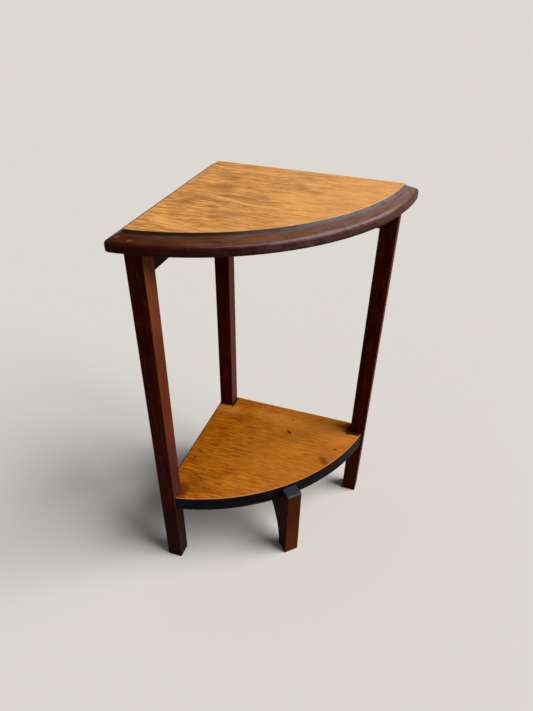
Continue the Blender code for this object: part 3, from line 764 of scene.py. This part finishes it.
def stained_material(name, colours, node, seed):
    """Stained and varnished hardwood: dark red-brown, streaked along its length, worn thin on its arrises,
    with painted light on a leg's side toward the window, painted shade low under the shelf, and on the foot
    painted shade and a painted highlight.
    """
    material, tree, place = new_material(name)
    low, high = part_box(node)
    half = (high - low) / 2
    centred = add_node(tree, "VectorMath", (place, (low + high) / 2), operation="SUBTRACT")[0]
    along = add_node(tree, "Mapping", {"Vector": centred, "Rotation": UPRIGHT_GRAIN})[0]
    bands = streaks(tree, along, 90, 7, 2.0, 0.3, seed)
    lines = streaks(tree, along, 30, 1.8, 3.0, 0.3, seed + 2)
    flecks = streaks(tree, along, 7, 1.2, 2.0, 0.0, seed + 4)
    patches = streaks(tree, along, 22, 10, 3.0, 0.6, seed + 6)
    sides = add_node(tree, "VectorMath", [centred], operation="ABSOLUTE")[0]
    depth = add_node(tree, "VectorMath", (half, sides), operation="SUBTRACT")[0]
    x_depth, y_depth, _ = add_node(tree, "SeparateXYZ", [depth])
    arris = add_node(tree, "Math", (x_depth, y_depth), operation="ADD")[0]
    rubbed = add_node(tree, "Math", (flecks, 2.2 * MM, arris), operation="MULTIPLY_ADD")[0]
    coats = [
        (bands, 0.36, 0.60, "shade", 0.85),
        (lines, 0.48, 0.68, "streak", 0.5),
        (flecks, 0.52, 0.70, "shade", 0.5),
        (patches, 0.60, 0.74, "worn", 0.35),
        (rubbed, 2.4 * MM, 1.2 * MM, "worn", 0.3),
    ]
    colour = lay_coats(tree, colours, "stain", coats)
    z = add_node(tree, "SeparateXYZ", [place])[2]
    coats = []
    # Painted light and reflection on the side toward the window, graded by height
    if node in LEG_SIDE_LIGHT:
        ragged = add_node(tree, "Math", (patches, 12 * MM, z), operation="MULTIPLY_ADD")[0]
        side_light = [(ragged, *side_tone) for side_tone in LEG_SIDE_LIGHT[node]]
        side_light += [(flecks, 0.50, 0.62, "streak", 0.35), (lines, 0.48, 0.62, "shade", 0.4)]
        lit_side = lay_coats(tree, colours, colour, side_light)
        sideways = add_node(tree, "SeparateXYZ", [centred])[0]
        coats.append((sideways, half.x - 1.2 * MM, half.x - 0.4 * MM, lit_side, 1))
    # Painted shade under the shelf on the back and left legs; a browner stain low on the right leg
    if node in LOW_SHADE_AND_STAIN:
        coats.append((z, *LOW_SHADE_AND_STAIN[node]))
    if node in SMEARED_LEGS:
        near = add_node(tree, "Math", (z, SHELF_HIGH.z), operation="SUBTRACT")[0]
        near = add_node(tree, "Math", [near], operation="ABSOLUTE")[0]
        coats.append((near, 4 * MM, 2 * MM, "grime_and_shade", 0.9))
    if node in LEG_CHIPS:
        chip = {"Vector": place, "Location": [c * MM for c in LEG_CHIPS[node]], "Scale": CHIP_SIZE}
        chip = add_node(tree, "Mapping", chip, vector_type="TEXTURE")[0]
        chip = add_node(tree, "VectorMath", [chip], operation="LENGTH")["Value"]
        coats.append((chip, 1.1, 0.4, "chip", 0.7))
    if node == "front_foot":
        coats += foot_coats(tree, colours, node, place, centred, lines, flecks, z)
    colour = lay_coats(tree, colours, colour, coats)
    surface = stained_wood(colour, LEG_ROUGHNESS, colours.gloss)
    finish_material(tree, surface, flecks, lines, LEG_RELIEF)
    return material


def rail_material(name, colours, turn):
    """Brown-stained softwood without varnish: matt, with broad dull grain."""
    material, tree, place = new_material(name)
    along = add_node(tree, "Mapping", {"Vector": place, "Rotation": turn})[0]
    bands = streaks(tree, along, 80, 5, 2.0, 0.3, RAIL_SEED)
    lines = streaks(tree, along, 25, 1.5, 3.0, 0.2, RAIL_SEED + 2)
    coats = [(bands, 0.42, 0.64, "shade", 0.5), (lines, 0.50, 0.70, "streak", 0.25)]
    surface = stained_wood(lay_coats(tree, colours, "rail", coats), RAIL_ROUGHNESS, colours.gloss)
    finish_material(tree, surface, lines, lines, RAIL_RELIEF)
    return material


def zinc_material(settings):
    """Zinc-plated steel: a greyish metal with a faint mottle from the plating bath."""
    material, tree, place = new_material("zinc-plated steel")
    mottle = streaks(tree, place, 1.6, 1.6, 3.0)
    colour = lay_coats(tree, settings, "zinc", [(mottle, 0.4, 0.7, "zinc_shade", 0.5)])
    surface = {"Base Color": colour, "Roughness": ZINC_ROUGHNESS, "Metallic": 1.0}
    finish_material(tree, surface, mottle, mottle, ZINC_RELIEF)
    return material


def beech_material(settings):
    """Bare beech: pale, dry wood with short brown flecks along its length."""
    material, tree, place = new_material("bare beech")
    along = add_node(tree, "Mapping", {"Vector": place, "Rotation": UPRIGHT_GRAIN})[0]
    flecks = streaks(tree, along, 3, 0.4, 2.0)
    colour = lay_coats(tree, settings, "beech", [(flecks, 0.5, 0.7, "beech_fleck", 0.7)])
    finish_material(tree, {"Base Color": colour, "Roughness": BEECH_ROUGHNESS}, flecks, flecks, BEECH_RELIEF)
    return material


def seen_directly(tree):
    """1 for a ray from the camera, a reflection or a clear part, and 0 where it only gives light."""
    path = add_node(tree, "LightPath")
    seen = path["Is Camera Ray"]
    for kind in ("Is Glossy Ray", "Is Transmission Ray"):
        seen = add_node(tree, "Math", (seen, path[kind]), operation="MAXIMUM")[0]
    return seen


def floor_material(settings):
    """Matt painted floor: pale to the camera and in reflections, darker where it throws light back."""
    material, tree, place = new_material("matt studio floor")
    colour = lay_coats(tree, settings, "floor_bounce", [(seen_directly(tree), 0, 1, "floor", 1)])
    grit = streaks(tree, place, 3, 3, 2.0)
    surface = {"Base Color": colour, "Roughness": FLOOR_ROUGHNESS, "Specular IOR Level": FLOOR_GLOSS}
    finish_material(tree, surface, grit, grit, FLOOR_RELIEF)
    return material


def linked_object(name, data):
    """A new object with that data, in the scene."""
    obj = bpy.data.objects.new(name, data)
    bpy.context.scene.collection.objects.link(obj)
    return obj


def mesh_object(built, name):
    """A new object from a bmesh, which is freed."""
    mesh = bpy.data.meshes.new(name)
    built.to_mesh(mesh)
    built.free()
    return linked_object(name, mesh)


def finished_object(built, name):
    """A smooth-shaded object from a bmesh, which is freed."""
    bmesh.ops.recalc_face_normals(built, faces=built.faces)
    obj = mesh_object(built, name)
    obj.data.shade_smooth()
    obj.data.set_sharp_from_angle(angle=SMOOTH_ANGLE)
    flatten = obj.modifiers.new("flat faces stay flat", "WEIGHTED_NORMAL")
    flatten.keep_sharp = True
    return obj


def fit_piece(obj, material, slot, *nodes):
    """Gives a finished piece its material and puts it in the place of its CAD nodes."""
    obj.data.materials.append(material)
    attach(obj, BODY)
    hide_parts(*nodes)


def draw_in(built, face, run, rise):
    """Insets a level face by run, and moves what is left of it by rise."""
    bmesh.ops.inset_region(built, faces=[face], thickness=run, use_even_offset=True, use_boundary=True)
    bmesh.ops.translate(built, verts=face.verts, vec=(0, 0, rise))


def merged_copy(node):
    """A bmesh of a CAD node with its loose triangles joined into whole faces."""
    built = bmesh.new()
    built.from_mesh(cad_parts[node].data)
    bmesh.ops.remove_doubles(built, verts=built.verts, dist=MERGE_DISTANCE)
    bmesh.ops.dissolve_limit(built, angle_limit=FLAT_ANGLE, verts=built.verts, edges=built.edges)
    return built


def rounding(inset, height, radius, turn, steps):
    """Insets and heights along an arc that starts upright at a place and leans inward by turn."""
    angles = [turn * step / steps for step in range(steps + 1)]
    return [(inset + radius * (1 - math.cos(angle)), height + radius * math.sin(angle)) for angle in angles]


def moulding_profile(settings):
    """The moulding as insets and heights, from the underside out, up its nose and in to the raised centre."""
    chamfer = settings.underside_chamfer
    profile = [(chamfer, TOP_LOW.z), (0, TOP_LOW.z + chamfer)]
    slope_start = settings.edge_width - settings.fillet_run
    slope_top = TOP_HIGH.z - settings.fillet_drop
    nose_turn = math.pi / 2 - settings.slope_angle
    nose_inset = settings.nose_radius * (1 - math.cos(nose_turn))
    nose_top = slope_top - (slope_start - nose_inset) * math.tan(settings.slope_angle)
    nose_centre = nose_top - settings.nose_radius * math.sin(nose_turn)
    profile += rounding(0, nose_centre, settings.nose_radius, nose_turn, settings.nose_steps)
    for step in range(1, SLOPE_STEPS + 1):
        share = step / SLOPE_STEPS
        inset = nose_inset + (slope_start - nose_inset) * share
        profile.append((inset, nose_top + (slope_top - nose_top) * share))
    rim = settings.rim_round
    return profile + rounding(settings.edge_width, TOP_HIGH.z - rim, rim, math.pi / 2, RIM_STEPS)


def spin(built, geometry, centre, angle, steps, **options):
    """Spins geometry round an upright axis, and gives what its last step made."""
    turning = {"cent": centre, "axis": (0, 0, 1), "angle": angle, "steps": steps}
    return bmesh.ops.spin(built, geom=geometry, **turning, **options)["geom_last"]


def spin_on(built, vertex, centre, angle, steps):
    """Spins a chain of edges on from a vertex, and gives its last vertex."""
    last = spin(built, [vertex], centre, angle, steps)
    return next(item for item in last if isinstance(item, bmesh.types.BMVert))


def quarter_loop(built, settings, inset, height):
    """A quarter-round loop of edges, drawn in by inset: its two tips worn round, its corner square."""
    known = set(built.edges)
    beyond = top_beyond(settings.arc_radius)
    centre = arc_centre(TOP_LOW, TOP_HIGH, beyond)
    centre.z = height
    tip_round = max(settings.tip_round - inset, settings.mitre_round)
    reach = settings.arc_radius - inset - tip_round
    first = math.asin((beyond + inset + tip_round) / reach)
    left_tip = centre + reach * Vector((math.sin(first), -math.cos(first), 0))
    right_tip = centre + reach * Vector((math.cos(first), -math.sin(first), 0))
    left_end = built.verts.new(left_tip - Vector((tip_round, 0, 0)))
    tip_turn = math.pi / 2 + first
    vertex = spin_on(built, left_end, left_tip, tip_turn, settings.tip_steps)
    vertex = spin_on(built, vertex, centre, math.pi / 2 - 2 * first, settings.arc_steps)
    right_end = spin_on(built, vertex, right_tip, tip_turn, settings.tip_steps)
    right_end.co = right_tip + Vector((0, tip_round, 0))
    corner = built.verts.new((TOP_LOW.x + inset, TOP_HIGH.y - inset, height))
    built.edges.new((right_end, corner))
    built.edges.new((corner, left_end))
    return [edge for edge in built.edges if edge not in known]


def moulded_board(settings):
    """The top board: a loop for each line of its moulding, bridged one to the next and capped."""
    built = bmesh.new()
    loops = [quarter_loop(built, settings, *line) for line in moulding_profile(settings)]
    for lower, upper in zip(loops, loops[1:]):
        bmesh.ops.bridge_loops(built, edges=lower + upper)
    for end in (loops[0], loops[-1]):
        bmesh.ops.contextual_create(built, geom=end)
    round_mitres(built, settings)
    roughen_nose(built, settings)
    return finished_object(built, "moulded_top")


def round_mitres(built, settings):
    """Wears the moulding's mitred corners round, below the foot of the raised centre."""
    ceiling = TOP_HIGH.z - settings.fillet_drop + MERGE_DISTANCE
    mitres = []
    for edge in built.edges:
        heights = [vertex.co.z for vertex in edge.verts]
        if max(heights) < ceiling and abs(heights[0] - heights[1]) > MERGE_DISTANCE:
            if edge.calc_face_angle(0) > MITRE_ANGLE:
                mitres.append(edge)
    wear = {"offset": settings.mitre_round, "segments": MITRE_STEPS, "profile": 0.5, "clamp_overlap": True}
    bmesh.ops.bevel(built, geom=mitres, affect="EDGES", material=-1, **wear)


def roughen_nose(built, settings):
    """Lets the moulding stray inward a little, as one shaped by hand does."""
    ceiling = TOP_HIGH.z - settings.fillet_drop - MERGE_DISTANCE
    middle = (TOP_LOW + TOP_HIGH) / 2
    for vertex in built.verts:
        if TOP_LOW.z + settings.underside_chamfer < vertex.co.z < ceiling:
            stray = noise.noise(vertex.co / STRAY_LENGTH) - STRAY_BIAS
            inward = (middle - vertex.co).normalized()
            vertex.co -= inward * min(stray, 0) * settings.unevenness


def screw_body(settings, low, high):
    """A countersunk wood screw with its thread, its head at the origin and its point down."""
    length = max(high - low)
    head = sorted(high - low)[1] / 2
    core = SCREW_CORE_SHARE * head
    countersink = SCREW_COUNTERSINK_SHARE * head
    rim = SCREW_RIM_SHARE * head
    point = SCREW_POINT_SHARE * head
    built = bmesh.new()
    profile = [(0, 0), (head, 0), (head, -rim), (core, -countersink), (core, point - length), (0, -length)]
    chain = [built.verts.new((radius, 0, height)) for radius, height in profile]
    edges = [built.edges.new(pair) for pair in zip(chain, chain[1:])]
    spin(built, chain + edges, Vector(), FULL_TURN, TURNED_STEPS, use_merge=True)
    bmesh.ops.remove_doubles(built, verts=built.verts, dist=MERGE_DISTANCE)
    add_thread(built, settings, core, point - length, (length - point - countersink) * THREAD_SHARE)
    return built


def add_thread(built, settings, core, start, rise):
    """Winds a closed ridge round a shank as thick as core, from start up by rise."""
    pitch = settings.thread_pitch
    turns = rise / pitch
    root = core * THREAD_ROOT_SHARE
    crest = (core + settings.thread_height, start + pitch * THREAD_CREST_SHARE)
    ridge = [(root, start), crest, (root, start + pitch * THREAD_WIDTH_SHARE)]
    chain = [built.verts.new((radius, 0, height)) for radius, height in ridge]
    section = built.faces.new(chain)
    climb = (0, 0, pitch / THREAD_STEPS)
    spin(built, [section], Vector(), FULL_TURN * turns, round(turns * THREAD_STEPS), dvec=climb)


def cut_recess(obj, settings, matrix):
    """Cuts the cross recess into a screw's head with two tapered blades."""
    blades = bmesh.new()
    for turn in (0, math.pi / 2):
        cube = bmesh.ops.create_cube(blades, size=1)["verts"]
        size = (settings.recess_width, settings.recess_slot, 2 * settings.recess_depth)
        bmesh.ops.scale(blades, verts=cube, vec=size)
        foot = [vertex for vertex in cube if vertex.co.z < 0]
        bmesh.ops.scale(blades, verts=foot, vec=(RECESS_TAPER_SHARE, 1, 1))
        bmesh.ops.rotate(blades, verts=cube, matrix=Matrix.Rotation(turn, 3, "Z"))
    bmesh.ops.transform(blades, matrix=matrix, verts=blades.verts)
    cutter = mesh_object(blades, "recess blades")
    cutting = obj.modifiers.new("recess", "BOOLEAN")
    cutting.operation = "DIFFERENCE"
    cutting.solver = "EXACT"
    cutting.use_self = True
    cutting.object = cutter
    graph = bpy.context.evaluated_depsgraph_get()
    cut_mesh = bpy.data.meshes.new_from_object(obj.evaluated_get(graph))
    obj.modifiers.clear()
    spent = (obj.data, cutter.data)
    obj.data = cut_mesh
    bpy.data.objects.remove(cutter)
    for mesh in spent:
        bpy.data.meshes.remove(mesh)


def screw_matrix(low, high, pointing):
    """Carries a screw that points down from the origin to its place in the stand."""
    middle = (low + high) / 2
    half = (high - low) / 2
    direction = Vector(pointing)
    head = middle - Vector(a * b for a, b in zip(half, direction))
    turn = Vector((0, 0, -1)).rotation_difference(direction).to_matrix().to_4x4()
    return Matrix.Translation(head) @ turn


def cut_screw(settings, node, pointing):
    """One screw with its thread and its cross recess."""
    low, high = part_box(node)
    matrix = screw_matrix(low, high, pointing)
    built = screw_body(settings, low, high)
    bmesh.ops.transform(built, matrix=matrix, verts=built.verts)
    obj = finished_object(built, f"{node}_steel")
    cut_recess(obj, settings, matrix)
    return obj


def fluted_dowel(node):
    """One dowel with flutes for the glue and chamfered ends."""
    low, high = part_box(node)
    middle = (low + high) / 2
    radius = (high.x - low.x) / 2
    built = bmesh.new()
    bmesh.ops.create_circle(built, cap_ends=True, segments=FLUTE_SIDES * FLUTES, radius=radius)
    for number, vertex in enumerate(built.verts):
        if number % FLUTE_SIDES == 0:
            vertex.co *= FLUTE_SHARE
    face = next(iter(built.faces))
    chamfer = DOWEL_CHAMFER
    extruded = bmesh.ops.extrude_face_region(built, geom=[face])
    upper = next(item for item in extruded["geom"] if isinstance(item, bmesh.types.BMFace))
    bmesh.ops.translate(built, verts=upper.verts, vec=(0, 0, high.z - low.z - 2 * chamfer))
    bmesh.ops.recalc_face_normals(built, faces=built.faces)
    draw_in(built, face, chamfer, -chamfer)
    draw_in(built, upper, chamfer, chamfer)
    bmesh.ops.translate(built, verts=built.verts, vec=(middle.x, middle.y, low.z + chamfer))
    return finished_object(built, f"{node}_fluted")


def stand_settings():
    return bpy.context.scene.corner_stand


class STAND_OT_top_board(bpy.types.Operator):
    """Makes the moulded top board"""

    bl_idname = "stand.top_board"
    bl_label = "Top board"

    def execute(self, context):
        settings = stand_settings().top
        board = moulded_board(settings)
        fit_piece(board, top_material(settings), "top_wood", "top_board")
        return {"FINISHED"}


class STAND_OT_shelf(bpy.types.Operator):
    """Makes the shelf with its notches and black edge"""

    bl_idname = "stand.shelf"
    bl_label = "Shelf"

    def execute(self, context):
        shelf = finished_object(merged_copy("shelf"), "notched_shelf")
        fit_piece(shelf, shelf_material(stand_settings().shelf), "shelf_wood", "shelf")
        return {"FINISHED"}


class STAND_OT_legs(bpy.types.Operator):
    """Makes the three legs and the front foot"""

    bl_idname = "stand.legs"
    bl_label = "Legs and foot"

    def execute(self, context):
        colours = stand_settings().legs
        for number, node in enumerate(LEG_NODES, 1):
            leg = finished_object(merged_copy(node), f"{node}_stained")
            material = stained_material(f"stained beech, {node}", colours, node, LEG_SEED * number)
            fit_piece(leg, material, "leg_wood", node)
        return {"FINISHED"}


class STAND_OT_rails(bpy.types.Operator):
    """Makes the two rails under the top"""

    bl_idname = "stand.rails"
    bl_label = "Rails"

    def execute(self, context):
        colours = stand_settings().legs
        for node, turn in RAIL_GRAIN.items():
            rail = finished_object(merged_copy(node), f"{node}_stained")
            fit_piece(rail, rail_material(f"stained pine, {node}", colours, turn), "rail_wood", node)
        return {"FINISHED"}


class STAND_OT_screws(bpy.types.Operator):
    """Makes the eight countersunk screws"""

    bl_idname = "stand.screws"
    bl_label = "Screws"

    def execute(self, context):
        settings = stand_settings().fixings
        material = zinc_material(settings)
        for node, pointing in SCREWS.items():
            fit_piece(cut_screw(settings, node, pointing), material, "screw_steel", node)
        return {"FINISHED"}


class STAND_OT_dowels(bpy.types.Operator):
    """Makes the four fluted dowels"""

    bl_idname = "stand.dowels"
    bl_label = "Dowels"

    def execute(self, context):
        material = beech_material(stand_settings().fixings)
        for node in DOWEL_NODES:
            fit_piece(fluted_dowel(node), material, "dowel_wood", node)
        return {"FINISHED"}


class STAND_OT_stage(bpy.types.Operator):
    """Sets up the floor, the lights and the camera"""

    bl_idname = "stand.stage"
    bl_label = "Stage"

    def execute(self, context):
        settings = stand_settings().stage
        lay_floor(settings)
        light_stage(settings)
        aim_camera()
        return {"FINISHED"}


def lay_floor(settings):
    built = bmesh.new()
    bmesh.ops.create_circle(built, cap_ends=True, segments=FLOOR_SEGMENTS, radius=FLOOR_RADIUS)
    floor = mesh_object(built, "floor")
    floor.data.materials.append(floor_material(settings))


def light_stage(settings):
    """A wide soft window light from the right, and a dim even sky that shines pale in the varnish."""
    data = bpy.data.lights.new("window", "SUN")
    data.energy = math.pi * settings.key
    data.angle = settings.key_spread
    data.color = KEY_COLOUR
    towards = Matrix.Rotation(settings.key_azimuth, 3, "Z") @ Matrix.Rotation(-settings.key_elevation, 3, "Y")
    lamp = linked_object("window", data)
    lamp.rotation_euler = (towards @ Vector((1, 0, 0))).to_track_quat("Z", "Y").to_euler()
    world = bpy.data.worlds.new("studio")
    bpy.context.scene.world = world
    world.use_nodes = True
    tree = world.node_tree
    tree.nodes.clear()
    lit = add_node(tree, "Background", {"Color": opaque(SKY_COLOUR), "Strength": settings.sky})[0]
    shown = add_node(tree, "Background", {"Color": opaque(settings.backdrop), "Strength": 1.0})[0]
    joined = add_node(tree, "MixShader", (seen_directly(tree), lit, shown))[0]
    add_node(tree, "OutputWorld", [joined])


def aim_camera():
    """The camera of the photograph: from the front right, looking down on the stand."""
    data = bpy.data.cameras.new("camera")
    data.sensor_fit = "AUTO"
    data.sensor_width = SENSOR_WIDTH
    data.lens = CAMERA_FOCAL_PIXELS * SENSOR_WIDTH / PHOTO_HEIGHT
    data.shift_x = -CAMERA_CENTRE_RIGHT / PHOTO_HEIGHT
    data.shift_y = CAMERA_CENTRE_DOWN / PHOTO_HEIGHT
    data.clip_end = 2 * FLOOR_RADIUS
    camera = linked_object("camera", data)
    heading = Matrix.Rotation(CAMERA_AZIMUTH, 4, "Z")
    tilt = Matrix.Rotation(math.pi / 2 - CAMERA_PITCH, 4, "X")
    roll = Matrix.Rotation(CAMERA_ROLL, 4, "Z")
    camera.matrix_world = Matrix.Translation(CAMERA_PLACE) @ heading @ tilt @ roll
    bpy.context.scene.camera = camera


OPERATORS = (
    STAND_OT_stage,
    STAND_OT_top_board,
    STAND_OT_shelf,
    STAND_OT_legs,
    STAND_OT_rails,
    STAND_OT_screws,
    STAND_OT_dowels,
)


class STAND_PT_panel(bpy.types.Panel):
    """Lists the stand's pieces and their settings"""

    bl_idname = "STAND_PT_panel"
    bl_label = "Corner plant stand"
    bl_space_type = "VIEW_3D"
    bl_region_type = "UI"
    bl_category = "Stand"

    def draw(self, context):
        for operator in OPERATORS:
            self.layout.operator(operator.bl_idname)
        settings = stand_settings()
        for group_name in settings.bl_rna.properties.keys():
            group = getattr(settings, group_name)
            if isinstance(group, bpy.types.PropertyGroup):
                box = self.layout.box()
                box.label(text=settings.bl_rna.properties[group_name].name)
                for key in group.bl_rna.properties.keys():
                    if key not in ("rna_type", "name"):
                        box.prop(group, key)


GROUPS = (TopSettings, ShelfSettings, LegSettings, FixingSettings, StageSettings, StandSettings)


def register():
    for item in (*GROUPS, *OPERATORS, STAND_PT_panel):
        bpy.utils.register_class(item)
    bpy.types.Scene.corner_stand = PointerProperty(type=StandSettings)


def unregister():
    del bpy.types.Scene.corner_stand
    for item in reversed((*GROUPS, *OPERATORS, STAND_PT_panel)):
        bpy.utils.unregister_class(item)


def main():
    register()
    bpy.context.scene.view_settings.view_transform = "Standard"
    bpy.ops.stand.stage()
    bpy.ops.stand.top_board()
    bpy.ops.stand.shelf()
    bpy.ops.stand.legs()
    bpy.ops.stand.rails()
    bpy.ops.stand.screws()
    bpy.ops.stand.dowels()


if __name__ == "__main__":
    main()
